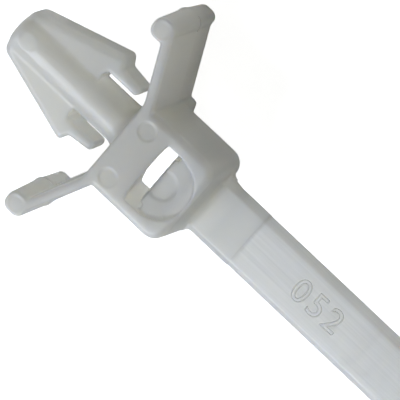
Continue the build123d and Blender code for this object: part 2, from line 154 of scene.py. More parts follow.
class TieStrapSettings(bpy.types.PropertyGroup):
    """Sizes of the strap, its teeth and its tail."""

    width: FloatProperty(
        name="Width", description="Width of the strap", default=4.75 * MM, unit="LENGTH",
        subtype="DISTANCE", precision=6)
    thickness: FloatProperty(
        name="Thickness", description="Thickness of the strap", default=1.3 * MM, unit="LENGTH",
        subtype="DISTANCE", precision=6)
    bevel: FloatProperty(
        name="Bevel", description="Bevels along the smooth side", default=0.5 * MM, unit="LENGTH",
        subtype="DISTANCE", precision=6)
    edge: FloatProperty(
        name="Edge", description="Upright edge between the bevels", default=0.15 * MM,
        unit="LENGTH", subtype="DISTANCE", precision=6)
    under_bevel: FloatProperty(
        name="Under Bevel", description="Bevels along the toothed side", default=0.28 * MM,
        unit="LENGTH", subtype="DISTANCE", precision=6)
    teeth_from: FloatProperty(
        name="First Tooth", description="Place of the first tooth along the strap",
        default=24.0 * MM, unit="LENGTH", subtype="DISTANCE", precision=6)
    tooth_pitch: FloatProperty(
        name="Tooth Pitch", description="Distance from tooth to tooth", default=1.2 * MM,
        unit="LENGTH", subtype="DISTANCE", precision=6)
    tooth_depth: FloatProperty(
        name="Tooth Depth", description="Depth of the toothed groove", default=0.45 * MM,
        unit="LENGTH", subtype="DISTANCE", precision=6)
    tooth_flat: FloatProperty(
        name="Tooth Flat", description="Flat at the root of each tooth", default=0.12 * MM,
        unit="LENGTH", subtype="DISTANCE", precision=6)
    teeth_width: FloatProperty(
        name="Teeth Width", description="Width of the toothed groove", default=3.3 * MM,
        unit="LENGTH", subtype="DISTANCE", precision=6)
    tail_length: FloatProperty(
        name="Tail Length", description="Length of the tapered tail", default=14.0 * MM,
        unit="LENGTH", subtype="DISTANCE", precision=6)
    tip_width: FloatProperty(
        name="Tip Width", description="Width of the tail's tip", default=2.3 * MM, unit="LENGTH",
        subtype="DISTANCE", precision=6)
    tip_thickness: FloatProperty(
        name="Tip Thickness", description="Thickness of the tail's tip", default=0.9 * MM,
        unit="LENGTH", subtype="DISTANCE", precision=6)
    rib_from_tip: FloatProperty(
        name="First Rib", description="First grip rib, from the tip", default=2.5 * MM,
        unit="LENGTH", subtype="DISTANCE", precision=6)
    rib_pitch: FloatProperty(
        name="Rib Pitch", description="Distance from rib to rib", default=1.5 * MM, unit="LENGTH",
        subtype="DISTANCE", precision=6)
    rib_width: FloatProperty(
        name="Rib Width", description="Size of a grip rib along the strap", default=1.0 * MM,
        unit="LENGTH", subtype="DISTANCE", precision=6)
    rib_height: FloatProperty(
        name="Rib Height", description="Height of a grip rib", default=0.2 * MM, unit="LENGTH",
        subtype="DISTANCE", precision=6)
    rib_count: IntProperty(name="Ribs", description="Number of grip ribs", default=5, min=1)
    rib_root: FloatProperty(
        name="Rib Root", description="How deep a grip rib is rooted in the tail",
        default=0.2 * MM, unit="LENGTH", subtype="DISTANCE", precision=6)
    rib_share: FloatProperty(
        name="Rib Share", description="Width of a grip rib for each unit of the tip's width",
        default=0.7, subtype="FACTOR")
    tooth_root: FloatProperty(
        name="Tooth Root", description="How deep a tooth is rooted above its groove",
        default=0.15 * MM, unit="LENGTH", subtype="DISTANCE", precision=6)
    tooth_side: FloatProperty(
        name="Tooth Side", description="How far a tooth reaches into each side of the groove",
        default=0.1 * MM, unit="LENGTH", subtype="DISTANCE", precision=6)
    bevel_share: FloatProperty(
        name="Bevel Share", description="Most of the half width that a bevel takes on the tail",
        default=0.4, subtype="FACTOR")
    under_share: FloatProperty(
        name="Under Share", description="Most of the half width that an under bevel takes there",
        default=0.3, subtype="FACTOR")
    tip_round: FloatProperty(
        name="Tip Round", description="Radius of the round tip for each unit of its width",
        default=0.4, subtype="FACTOR")


class TiePartingSettings(bpy.types.PropertyGroup):
    """Fine beads where the parts of the tool meet."""

    level: FloatProperty(
        name="Level", description="Height of the line on the wings", default=-0.65 * MM,
        unit="LENGTH", subtype="DISTANCE", precision=6)
    wing_from: FloatProperty(
        name="Wing Start", description="Distance from the middle at which the line starts",
        default=3.6 * MM, unit="LENGTH", subtype="DISTANCE", precision=6)
    barb_end: FloatProperty(
        name="Barb End", description="The barbs end before this place", default=0.3 * MM,
        unit="LENGTH", subtype="DISTANCE", precision=6)
    barb_side: FloatProperty(
        name="Barb Side", description="The barbs reach less far from the middle than this",
        default=4.6 * MM, unit="LENGTH", subtype="DISTANCE", precision=6)
    insert_x: FloatProperty(
        name="Strap Insert", description="Where the line across the strap lies", default=14.2 * MM,
        unit="LENGTH", subtype="DISTANCE", precision=6)
    bead: FloatProperty(
        name="Bead", description="Width of the bead", default=0.11 * MM, unit="LENGTH",
        subtype="DISTANCE", precision=6)
    sunk: FloatProperty(
        name="Sunk", description="How deep the line across the strap lies in its faces",
        default=0.045 * MM, unit="LENGTH", subtype="DISTANCE", precision=6)
    join: FloatProperty(
        name="Join", description="Ends of edges nearer than this are joined",
        default=0.002 * MM, unit="LENGTH", subtype="DISTANCE", precision=6)


class TieDigitSettings(bpy.types.PropertyGroup):
    """Plain raised digits on the smooth side of the strap."""

    text: StringProperty(
        name="Digits", description="Plain digits raised on the strap", default="052")
    height: FloatProperty(
        name="Height", description="Height of a digit", default=1.8 * MM, unit="LENGTH",
        subtype="DISTANCE", precision=6)
    centre_x: FloatProperty(
        name="Place", description="Middle of the digits along the strap", default=20.75 * MM,
        unit="LENGTH", subtype="DISTANCE", precision=6)
    type_size: FloatProperty(
        name="Type Size", description="Size of the type for each unit of a digit's height",
        default=1.4, subtype="FACTOR")
    spacing: FloatProperty(
        name="Spacing", description="Distance from digit to digit, in widths", default=1.18,
        subtype="FACTOR")
    line: FloatProperty(
        name="Line", description="Width of the raised line round each digit", default=0.1 * MM,
        unit="LENGTH", subtype="DISTANCE", precision=6)


class TieNylonSettings(bpy.types.PropertyGroup):
    """Colours of the natural nylon, and the sizes of what shows in it."""

    cloud_dark: FloatVectorProperty(
        name="Darker Clouds", description="Darker of the nylon's two tones", subtype="COLOR",
        size=4, min=0.0, max=1.0, default=linear("#D5D5D0"))
    cloud_light: FloatVectorProperty(
        name="Lighter Clouds", description="Lighter of the nylon's two tones", subtype="COLOR",
        size=4, min=0.0, max=1.0, default=linear("#DDDDD8"))
    # Painted shade: the strap's colour is darkened towards this grey.
    strap_painted_shade: FloatVectorProperty(
        name="Strap", description="Tint of the strap, matched to the photo", subtype="COLOR",
        size=4, min=0.0, max=1.0, default=linear("#BDC0C1"))
    line_tint: FloatVectorProperty(
        name="Polishing Lines", description="Nylon in the tool's polishing lines",
        subtype="COLOR", size=4, min=0.0, max=1.0, default=linear("#E0E1E0"))
    # Painted light: the colour between near walls is lightened towards this.
    nook_painted_light: FloatVectorProperty(
        name="Nooks", description="Lighter nylon between near walls, matched to the photo",
        subtype="COLOR", size=4, min=0.0, max=1.0, default=linear("#FFFFF8"))
    depth_tint: FloatVectorProperty(
        name="Depth", description="Colour that light takes on its way through thick nylon",
        subtype="COLOR", size=4, min=0.0, max=1.0, default=linear("#D9C9A0"))
    depth_density: FloatProperty(
        name="Depth Density", description="How fast light takes that colour", default=28.0,
        min=0.0)
    scatter: FloatProperty(
        name="Scatter", description="How far light spreads under the surface",
        default=5.5 * MM, unit="LENGTH", subtype="DISTANCE", precision=6)
    cloud_size: FloatProperty(
        name="Cloud Size", description="Size of the clouds", default=4.0 * MM, unit="LENGTH",
        subtype="DISTANCE", precision=6)
    line_length: FloatProperty(
        name="Line Length", description="Length of a polishing line", default=7.0 * MM,
        unit="LENGTH", subtype="DISTANCE", precision=6)
    line_width: FloatProperty(
        name="Line Width", description="Distance between the polishing lines as drawn",
        default=0.14 * MM, unit="LENGTH", subtype="DISTANCE", precision=6)
    line_fade: FloatProperty(
        name="Line Fade", description="Stretch in which the polishing lines start, each way",
        default=0.05 * MM, unit="LENGTH", subtype="DISTANCE", precision=6)
    grain: FloatProperty(
        name="Grain", description="Size of the surface grain as drawn", default=0.12 * MM,
        unit="LENGTH", subtype="DISTANCE", precision=6)
    # How near two walls are where the painted light is laid.
    nook_reach: FloatProperty(
        name="Nook Reach", description="How near two walls are where the nylon is lightened",
        default=2.2 * MM, unit="LENGTH", subtype="DISTANCE", precision=6)
    # Where the painted shade on the strap starts, where it is full, and how much of its grey it
    # takes.
    painted_shade_from: FloatProperty(
        name="Grey From", description="Where the nylon starts to get greyer along the strap",
        default=10.9 * MM, unit="LENGTH", subtype="DISTANCE", precision=6)
    painted_shade_full: FloatProperty(
        name="Grey To", description="Where the strap has its own grey", default=12.0 * MM,
        unit="LENGTH", subtype="DISTANCE", precision=6)
    painted_shade_share: FloatProperty(
        name="Grey Share", description="Share of the strap's grey there", default=0.75,
        min=0.0, max=1.0, subtype="FACTOR")


class TieStageSettings(bpy.types.PropertyGroup):
    """Camera, floor, lamp and world."""

    paper: FloatVectorProperty(
        name="Paper", description="Colour of the floor's paper", subtype="COLOR", size=4,
        min=0.0, max=1.0, default=linear("#E8E8E8"))
    key_tint: FloatVectorProperty(
        name="Key Colour", description="Colour of the key lamp's light", subtype="COLOR",
        size=4, min=0.0, max=1.0, default=linear("#EEF4FF"))
    world_tint: FloatVectorProperty(
        name="World Colour", description="Colour of the even light", subtype="COLOR", size=4,
        min=0.0, max=1.0, default=linear("#FFFDF8"))
    key_from: FloatVectorProperty(
        name="Key From", description="Way to the key lamp in the camera's right, up and back",
        subtype="DIRECTION", default=(-1.0, -0.8, 0.62))
    target: FloatVectorProperty(
        name="Target", description="Point that the camera looks at",
        default=(10.3634 * MM, 1.2274 * MM, 4.65 * MM), subtype="XYZ", unit="LENGTH", precision=6)
    azimuth: FloatProperty(
        name="Azimuth", description="Direction of the camera, from +X towards +Y",
        default=math.radians(70.2266), subtype="ANGLE")
    elevation: FloatProperty(
        name="Elevation", description="Height of the camera above the floor plane",
        default=math.radians(70.0311), subtype="ANGLE")
    roll: FloatProperty(
        name="Roll", description="Turn of the camera about its line of sight",
        default=math.radians(-117.946), subtype="ANGLE")
    distance: FloatProperty(
        name="Distance", description="Camera to target", default=217.59 * MM, unit="LENGTH",
        subtype="DISTANCE", precision=6)
    lens: FloatProperty(
        name="Lens", description="Focal length in millimetres for a 36 mm sensor", default=290.94)
    key_level: FloatProperty(
        name="Key Level", description="Strength of the soft key lamp", default=3.7, min=0.0)
    key_size: FloatProperty(
        name="Key Size", description="Side of the key lamp", default=280 * MM, unit="LENGTH",
        subtype="DISTANCE", precision=6)
    key_distance: FloatProperty(
        name="Key Distance", description="Key lamp to the head", default=600 * MM,
        unit="LENGTH", subtype="DISTANCE", precision=6)
    key_aim: FloatProperty(
        name="Key Aim", description="Place along the strap at which the key lamp points",
        default=8.0 * MM, unit="LENGTH", subtype="DISTANCE", precision=6)
    floor_half: FloatProperty(
        name="Floor", description="Half of the floor's side", default=4000 * MM, unit="LENGTH",
        subtype="DISTANCE", precision=6)
    floor_gap: FloatProperty(
        name="Floor Gap", description="Air between the lowest edges and the floor",
        default=0.02 * MM, unit="LENGTH", subtype="DISTANCE", precision=6)
    world_level: FloatProperty(
        name="World Level", description="Strength of the even light from all round", default=0.22,
        min=0.0)


# Small helpers.


def add_node(tree, kind, settings=None, values=None, links=None):
    """Add a node with its settings, the values of its sockets and the links into it."""
    node = tree.nodes.new(kind)
    for name, value in (settings or {}).items():
        setattr(node, name, value)
    for name, value in (values or {}).items():
        node.inputs[name].default_value = value
    for name, socket in (links or {}).items():
        tree.links.new(socket, node.inputs[name])
    return node


def object_from(name, mesh):
    """A new object at the origin that shows a mesh."""
    piece = bpy.data.objects.new(name, mesh)
    bpy.context.scene.collection.objects.link(piece)
    return piece


def baked(piece, name):
    """The evaluated mesh of a piece; the piece itself is removed."""
    bpy.context.view_layer.update()
    evaluated = piece.evaluated_get(bpy.context.evaluated_depsgraph_get())
    mesh = bpy.data.meshes.new_from_object(evaluated)
    mesh.name = name
    bpy.data.objects.remove(piece)
    return mesh


def finished_piece(name, mesh, replaced=()):
    """A piece on the moulding's one body, in natural nylon."""
    if not mesh.polygons:
        raise RuntimeError(name + " has no faces")
    mesh.transform(Matrix.Scale(MM, 4))
    mesh.materials.clear()
    mesh.materials.append(natural_nylon())
    mesh.shade_smooth()
    piece = object_from(name, mesh)
    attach(piece, "root")
    if replaced:
        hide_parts(*replaced)
    return piece


def in_mm(settings):
    """The sizes of a settings group, in millimetres, by name."""
    sizes = {}
    for name in settings.__annotations__:
        prop = settings.bl_rna.properties[name]
        value = getattr(settings, name)
        sizes[name] = value / MM if prop.unit == "LENGTH" else value
    return sizes


# Material.


def natural_nylon():
    """Natural nylon 6/6, as injection moulded.

    The eye sees a milky, slightly cloudy plastic: light passes in and is scattered, so that thin
    walls glow, the walls of the slots stay light, and thick places turn a little yellow, all
    under a broad semi-matt gloss. The light in the slots and gaps is partly painted light in the
    colour, and the strap is given painted shade.
    """
    found = bpy.data.materials.get("natural_nylon_moulded")
    if found:
        return found
    nylon = bpy.context.scene.tie_nylon
    insert_x = bpy.context.scene.tie_parting.insert_x
    material = bpy.data.materials.new("natural_nylon_moulded")
    material.use_nodes = True
    tree = material.node_tree
    tree.nodes.clear()
    place = add_node(tree, "ShaderNodeTexCoord").outputs["Object"]
    # Clouds a few millimetres across, in two close tones.
    clouds = add_node(
        tree, "ShaderNodeTexNoise", values={"Scale": 1 / nylon.cloud_size, "Detail": 3.0},
        links={"Vector": place})
    cloudy = add_node(
        tree, "ShaderNodeMix", {"data_type": "RGBA"},
        {"A": nylon.cloud_dark, "B": nylon.cloud_light},
        {"Factor": clouds.outputs["Fac"]})
    # Fine lines along the strap, past its root, taken for polishing lines of the tool. Their
    # spacing is chosen so that they show, and isn't measured.
    across = 1 / nylon.line_width
    drawn = add_node(
        tree, "ShaderNodeMapping",
        values={"Scale": (1 / nylon.line_length, across, across)}, links={"Vector": place})
    lines = add_node(
        tree, "ShaderNodeTexNoise", values={"Scale": 1.0, "Detail": 2.0},
        links={"Vector": drawn.outputs["Vector"]})
    along = add_node(tree, "ShaderNodeSeparateXYZ", links={"Vector": place})
    on_strap = add_node(
        tree, "ShaderNodeMapRange",
        values={"From Min": insert_x - nylon.line_fade, "From Max": insert_x + nylon.line_fade},
        links={"Value": along.outputs["X"]})
    brushed = add_node(
        tree, "ShaderNodeMath", {"operation": "MULTIPLY"},
        links={0: lines.outputs["Fac"], 1: on_strap.outputs["Result"]})
    # Painted shade: the strap's colour is darkened by its place along it, because without this it
    # renders lighter than it is there. Why it does isn't known.
    strap_shade_mask = add_node(
        tree, "ShaderNodeMapRange",
        values={"From Min": nylon.painted_shade_from, "From Max": nylon.painted_shade_full,
                "To Max": nylon.painted_shade_share},
        links={"Value": along.outputs["X"]})
    shaded_strap = add_node(
        tree, "ShaderNodeMix", {"data_type": "RGBA"}, {"B": nylon.strap_painted_shade},
        {"Factor": strap_shade_mask.outputs["Result"], "A": cloudy.outputs["Result"]})
    lined = add_node(
        tree, "ShaderNodeMix", {"data_type": "RGBA"}, {"B": nylon.line_tint},
        {"Factor": brushed.outputs["Value"], "A": shaded_strap.outputs["Result"]})
    # Painted light: slots and gaps, where near walls meet, are lightened in colour, because without
    # this they render darker than they are.
    nook = add_node(
        tree, "ShaderNodeAmbientOcclusion", {"samples": 8}, {"Distance": nylon.nook_reach})
    colour = add_node(
        tree, "ShaderNodeMix", {"data_type": "RGBA"}, {"A": nylon.nook_painted_light},
        {"Factor": nook.outputs["AO"], "B": lined.outputs["Result"]})
    # A grain in the surface. Its size is chosen so that it shows, and isn't measured.
    grain = add_node(
        tree, "ShaderNodeTexNoise", values={"Scale": 1 / nylon.grain, "Detail": 2.0},
        links={"Vector": place})
    relief = add_node(
        tree, "ShaderNodeMath", {"operation": "ADD"},
        links={0: grain.outputs["Fac"], 1: brushed.outputs["Value"]})
    bump = add_node(
        tree, "ShaderNodeBump", values={"Strength": 0.06, "Distance": 0.01 * MM},
        links={"Height": relief.outputs["Value"]})
    rough = add_node(
        tree, "ShaderNodeMapRange", values={"To Min": 0.4, "To Max": 0.52},
        links={"Value": clouds.outputs["Fac"]})
    shader = add_node(
        tree, "ShaderNodeBsdfPrincipled", values={
            "IOR": 1.53, "Transmission Weight": 0.5, "Subsurface Weight": 1.0,
            "Subsurface Radius": (1.0, 0.9, 0.7), "Subsurface Scale": nylon.scatter},
        links={"Base Color": colour.outputs["Result"], "Roughness": rough.outputs["Result"],
               "Normal": bump.outputs["Normal"]})
    depth = add_node(
        tree, "ShaderNodeVolumeAbsorption",
        values={"Color": nylon.depth_tint, "Density": nylon.depth_density})
    add_node(
        tree, "ShaderNodeOutputMaterial",
        links={"Surface": shader.outputs["BSDF"], "Volume": depth.outputs["Volume"]})
    return material


# Moulding.


def prism(points, width):
    """A mesh of a closed outline in X and Z, as wide as given, centred on Y = 0."""
    return sweep([[(x, side * width / 2, z) for x, z in points] for side in (-1, 1)])


def sweep(rings):
    """A closed mesh through rings of points, with a flat cap at each end."""
    body = bmesh.new()
    rows = [[body.verts.new(point) for point in ring] for ring in rings]
    for low, high in zip(rows, rows[1:]):
        for i in range(len(low)):
            j = (i + 1) % len(low)
            body.faces.new((low[i], low[j], high[j], high[i]))
    body.faces.new(list(reversed(rows[0])))
    body.faces.new(rows[-1])
    bmesh.ops.recalc_face_normals(body, faces=body.faces)
    mesh = bpy.data.meshes.new("swept")
    body.to_mesh(mesh)
    body.free()
    return mesh


def solid_copy():
    """A copy of the packed solid, in millimetres."""
    body = bmesh.new()
    body.from_mesh(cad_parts["cable_tie"].data)
    bmesh.ops.transform(body, matrix=Matrix.Scale(1 / MM, 4), verts=body.verts)
    bmesh.ops.remove_doubles(body, verts=body.verts, dist=SAME_POINT)
    return body


def cut_edges(body, place, normal, clear_inner):
    """Cut a body at a plane, drop what is past it, and give the edges that lie in the plane."""
    cut = bmesh.ops.bisect_plane(
        body, geom=body.verts[:] + body.edges[:] + body.faces[:], plane_co=place,
        plane_no=normal, clear_outer=True, clear_inner=clear_inner)
    return [item for item in cut["geom_cut"] if isinstance(item, bmesh.types.BMEdge)]


def head_end(seam_x):
    """Arrow, wings, head and the strap's root: a copy of the solid, cut off along the strap."""
    body = solid_copy()
    edges = cut_edges(body, (seam_x, 0, 0), (1, 0, 0), False)
    bmesh.ops.contextual_create(body, geom=edges)
    mesh = bpy.data.meshes.new("head_end")
    body.to_mesh(mesh)
    body.free()
    return mesh


def box_mesh(low, high):
    """A closed box between two corners."""
    corners = [(low[1], low[2]), (high[1], low[2]), (high[1], high[2]), (low[1], high[2])]
    return sweep([[(x, y, z) for y, z in corners] for x in (low[0], high[0])])


def side_boxes(along, across, up):
    """Two closed boxes, mirrored about Y = 0, each from its low to its high bound."""
    boxes = []
    for side in (-1, 1):
        near, far = sorted(side * place for place in across)
        boxes.append(box_mesh((along[0], near, up[0]), (along[1], far, up[1])))
    return boxes


def open_slits(mesh, sizes):
    """The head end with the slits cut through upright at their closed ends."""
    reach = sizes["trunk_top"] - sizes["trunk_low"]
    cutters = side_boxes(
        (sizes["slit_end"], sizes["slit_open"]), (sizes["slit_inner"], sizes["slit_side"]),
        (-reach, reach))
    cutter = object_from("slit_cutter", joined(cutters))
    piece = object_from("slit_head", mesh)
    cut = piece.modifiers.new("slits", "BOOLEAN")
    cut.operation = "DIFFERENCE"
    cut.solver = "EXACT"
    cut.object = cutter
    opened = baked(piece, "head_end")
    bpy.data.objects.remove(cutter)
    return opened


def trunk_mesh(sizes):
    """The oval trunk from the slits back to the web, where it flares out in a hollow curve."""
    middle = (sizes["trunk_top"] + sizes["trunk_low"]) / 2
    half_w = sizes["trunk_width"] / 2
    half_h = (sizes["trunk_top"] - sizes["trunk_low"]) / 2
    flare = sizes["flare"]
    stations = [(sizes["slit_end"] - sizes["trunk_lap"], 0.0), (sizes["web_x"] - flare, 0.0)]
    for angle in range(10, 81, 10):
        turn = math.radians(angle)
        place = sizes["web_x"] - flare * (1 - math.sin(turn))
        stations.append((place, flare * (1 - math.cos(turn))))
    corners = 48
    turns = [math.tau * i / corners for i in range(corners)]
    return sweep([
        [(x, (half_w + grown_by) * math.cos(turn), middle + (half_h + grown_by) * math.sin(turn))
         for turn in turns] for x, grown_by in stations])


def pocket_skin(sizes):
    """Thin skin that closes the gap behind the pawl and beside it, flush with the pawl's top."""
    top = sizes["pawl_top"]
    low = top - sizes["skin"]
    back = sizes["pawl_back"]
    reach = math.acos((back - sizes["pocket_x"]) / sizes["pocket_r"])
    steps = 12
    turns = [reach * (i / steps - 1) for i in range(2 * steps + 1)]
    arc = [(sizes["pocket_x"] + sizes["pocket_r"] * math.cos(turn),
            sizes["pocket_r"] * math.sin(turn)) for turn in turns]
    behind = sweep([[(x, y, z) for x, y in arc] for z in (low, top)])
    seam = 0.1
    sides = side_boxes(
        (back - sizes["skin_length"], back + seam), (sizes["pawl_half"], sizes["skin_side"]),
        (low, top))
    return [behind] + sides


def strap_ring(x, sizes, half, low, groove=False):
    """Cross-section of the strap at x, with or without the groove for the teeth."""
    top = sizes["thickness"] / 2
    bevel = min(sizes["bevel"], half * sizes["bevel_share"])
    under = min(sizes["under_bevel"], half * sizes["under_share"])
    edge_low = top - bevel - sizes["edge"]
    right = [(half - bevel, top), (half, top - bevel), (half, edge_low), (half - under, low)]
    if groove:
        side = sizes["teeth_width"] / 2
        right += [(side, low), (side, low + sizes["tooth_depth"])]
    return [(x, y, z) for y, z in right + [(-y, z) for y, z in reversed(right)]]


def tail_rings(sizes, start, end):
    """Rings of the tail, tapering in width and thickness to its round tip."""
    rings = []
    shoulder = end - sizes["tail_length"]
    tip_r = sizes["tip_width"] * sizes["tip_round"]
    round_end = [end - tip_r * (1 - math.sin(math.radians(angle))) for angle in range(15, 86, 10)]
    stations = [start, shoulder, end - tip_r, *round_end, end]
    for x in stations:
        share = max(0.0, (x - shoulder) / sizes["tail_length"])
        half = sizes["width"] / 2 + (sizes["tip_width"] - sizes["width"]) / 2 * share
        past = max(0.0, x - (end - tip_r)) / tip_r
        half = half - tip_r * (1 - math.sqrt(max(0.0, 1 - past * past)))
        low = -sizes["thickness"] / 2 + (sizes["thickness"] - sizes["tip_thickness"]) * share
        rings.append(strap_ring(x, sizes, half, low))
    return rings


def strap_meshes(sizes, start, end):
    """The strap without its teeth: plain start, grooved middle and tapered tail, lapped."""
    half = sizes["width"] / 2
    low = -sizes["thickness"] / 2
    teeth_end = sizes["teeth_from"] + tooth_count(sizes, end) * sizes["tooth_pitch"]
    plain = [strap_ring(x, sizes, half, low) for x in (start - LAP, sizes["teeth_from"])]
    grooved = [strap_ring(x, sizes, half, low, True)
               for x in (sizes["teeth_from"] - LAP, teeth_end + LAP)]
    return [sweep(plain), sweep(grooved), sweep(tail_rings(sizes, teeth_end, end))]


def tooth_count(sizes, end):
    """How many teeth fit between the first tooth and the tail."""
    return int((end - sizes["tail_length"] - sizes["teeth_from"]) / sizes["tooth_pitch"])


def tree_inputs(tree, kinds):
    """Give a geometry nodes tree its named inputs and its output, and return the inputs."""
    for name, kind in kinds.items():
        tree.interface.new_socket(name=name, in_out="INPUT", socket_type="NodeSocket" + kind)
    tree.interface.new_socket(
        name="Geometry", in_out="OUTPUT", socket_type="NodeSocketGeometry")
    return add_node(tree, "NodeGroupInput").outputs


def paint_and_give(tree, geometry, given):
    """End a geometry nodes tree: real copies, their material, and the geometry handed out."""
    real = add_node(tree, "GeometryNodeRealizeInstances", links={"Geometry": geometry})
    painted = add_node(
        tree, "GeometryNodeSetMaterial",
        links={"Geometry": real.outputs["Geometry"], "Material": given["Material"]})
    add_node(tree, "NodeGroupOutput", links={"Geometry": painted.outputs["Geometry"]})


def round_section(tree, radius):
    """The round section of a bead or a raised line."""
    ring = add_node(
        tree, "GeometryNodeCurvePrimitiveCircle", values={"Resolution": ROUND_CORNERS},
        links={"Radius": radius})
    return ring.outputs["Curve"]


def repeat_tree():
    """Geometry nodes that repeat a shape in a straight row."""
    tree = bpy.data.node_groups.new("row_of_shapes", "GeometryNodeTree")
    given = tree_inputs(tree, {
        "Shape": "Object", "Count": "Int", "Start": "Vector", "Step": "Vector",
        "Material": "Material"})
    shape = add_node(tree, "GeometryNodeObjectInfo", links={"Object": given["Shape"]})
    row = add_node(
        tree, "GeometryNodeMeshLine", {"mode": "OFFSET"},
        links={"Count": given["Count"], "Start Location": given["Start"], "Offset": given["Step"]})
    placed = add_node(
        tree, "GeometryNodeInstanceOnPoints",
        links={"Points": row.outputs["Mesh"], "Instance": shape.outputs["Geometry"]})
    paint_and_give(tree, placed.outputs["Instances"], given)
    return tree


def grown(tree, inputs, name, start=None):
    """The mesh that a geometry nodes tree makes from the named inputs, and from a mesh if given."""
    carrier = object_from(name, start or bpy.data.meshes.new(name))
    modifier = carrier.modifiers.new(name, "NODES")
    modifier.node_group = tree
    for item in tree.interface.items_tree:
        if item.in_out == "INPUT" and item.name in inputs:
            modifier[item.identifier] = inputs[item.name]
    return baked(carrier, name)


def row_mesh(tree, shape, count, start, step, name):
    """A row of copies of a mesh, as one plain mesh."""
    pattern = object_from(name + "_shape", shape)
    inputs = {"Shape": pattern, "Count": count, "Start": start, "Step": step,
              "Material": natural_nylon()}
    mesh = grown(tree, inputs, name)
    bpy.data.objects.remove(pattern)
    return mesh


def tooth_shape(sizes):
    """One ratchet tooth: steep towards the head, sloping towards the tail, rooted in the strap."""
    low = -sizes["thickness"] / 2
    root = low + sizes["tooth_depth"]
    sunk = root + sizes["tooth_root"]
    points = [(0, low), (sizes["tooth_pitch"] - 2 * sizes["tooth_flat"], root),
              (sizes["tooth_pitch"] - 2 * sizes["tooth_flat"], sunk), (-sizes["tooth_flat"], sunk),
              (-sizes["tooth_flat"], root)]
    return prism(points, sizes["teeth_width"] + 2 * sizes["tooth_side"])


def rib_shape(sizes):
    """One grip rib across the smooth side of the tail."""
    face = sizes["thickness"] / 2
    half = sizes["rib_width"] / 2
    foot = face - sizes["rib_root"]
    points = [(-half, foot), (-half, face), (0, face + sizes["rib_height"]), (half, face),
              (half, foot)]
    return prism(points, sizes["tip_width"] * sizes["rib_share"])


def joined(meshes):
    """One mesh that holds several."""
    body = bmesh.new()
    for mesh in meshes:
        body.from_mesh(mesh)
    whole = bpy.data.meshes.new("joined")
    body.to_mesh(whole)
    body.free()
    return whole


def softened(mesh, cell, passes, most):
    """The mesh as one skin with soft moulded edges, held inside the solid's box."""
    piece = object_from("softened", mesh)
    remesh = piece.modifiers.new("skin", "REMESH")
    remesh.mode = "VOXEL"
    remesh.voxel_size = cell
    smooth = piece.modifiers.new("soft", "SMOOTH")
    smooth.factor = 0.5
    smooth.iterations = passes
    skin = baked(piece, "skin")
    triangles = sum(len(face.vertices) - 2 for face in skin.polygons)
    piece = object_from("thinned", skin)
    thin = piece.modifiers.new("thin", "DECIMATE")
    thin.ratio = min(1.0, most / triangles)
    thinned = baked(piece, "cable_tie_moulding")
    hold_in_box(thinned)
    return thinned


def hold_in_box(mesh):
    """Press the points of a mesh that stand out of the solid's box back onto it."""
    low, high = CAD_LOW / MM, CAD_HIGH / MM
    for vertex in mesh.vertices:
        vertex.co = [min(max(value, least), top) for value, least, top in zip(vertex.co, low, high)]


class TIE_OT_moulding(bpy.types.Operator):
    """Build the moulding: arrow, wings, head and strap as one skin"""

    bl_idname = "cable_tie.moulding"
    bl_label = "Moulding"

    def execute(self, context):
        mesh_sizes = in_mm(context.scene.tie_moulding)
        sizes = in_mm(context.scene.tie_strap)
        end = CAD_HIGH.x / MM
        row = repeat_tree()
        teeth = row_mesh(
            row, tooth_shape(sizes), tooth_count(sizes, end), (sizes["teeth_from"], 0, 0),
            (sizes["tooth_pitch"], 0, 0), "ratchet_teeth")
        ribs = row_mesh(
            row, rib_shape(sizes), sizes["rib_count"], (end - sizes["rib_from_tip"], 0, 0),
            (-sizes["rib_pitch"], 0, 0), "grip_ribs")
        start = mesh_sizes["seam_x"]
        arrow_end = open_slits(head_end(start), mesh_sizes)
        parts = [arrow_end, trunk_mesh(mesh_sizes), teeth, ribs]
        parts += pocket_skin(mesh_sizes) + strap_meshes(sizes, start, end)
        mesh = softened(
            joined(parts), mesh_sizes["cell"], mesh_sizes["smoothing"], mesh_sizes["triangles"])
        finished_piece("cable_tie_moulding", mesh, ["cable_tie"])
        return {"FINISHED"}


# Parting line.


def edge_ends(place, normal):
    """The two ends of each edge in which a plane meets the solid's faces."""
    body = solid_copy()
    found = [[vertex.co.copy() for vertex in edge.verts]
             for edge in cut_edges(body, place, normal, True)]
    body.free()
    return found


def wing_line(sizes):
    """The line of the tool's halves, only on the wings and not on the barbs."""
    kept = []
    for ends in edge_ends((0, 0, sizes["level"]), (0, 0, 1)):
        out = min(abs(end.y) for end in ends)
        behind_barb = out > sizes["wing_from"] and ends[0].x > sizes["barb_end"]
        if behind_barb or out > sizes["barb_side"]:
            kept.append(ends)
    return kept


def insert_line(sizes):
    """The line round the strap where the tool's insert ends, sunk a little into the faces."""
    found = edge_ends((sizes["insert_x"], 0, 0), (1, 0, 0))
    for ends in found:
        for end in ends:
            end.y -= math.copysign(sizes["sunk"], end.y)
            end.z -= math.copysign(sizes["sunk"], end.z)
    return found


def witness_lines(sizes):
    """Where the tool's halves meet on the wings, and where its strap insert ends, as bare edges."""
    lines = bmesh.new()
    for ends in wing_line(sizes) + insert_line(sizes):
        lines.edges.new([lines.verts.new(end) for end in ends])
    bmesh.ops.remove_doubles(lines, verts=lines.verts, dist=sizes["join"])
    mesh = bpy.data.meshes.new("witness_lines")
    lines.to_mesh(mesh)
    lines.free()
    return mesh


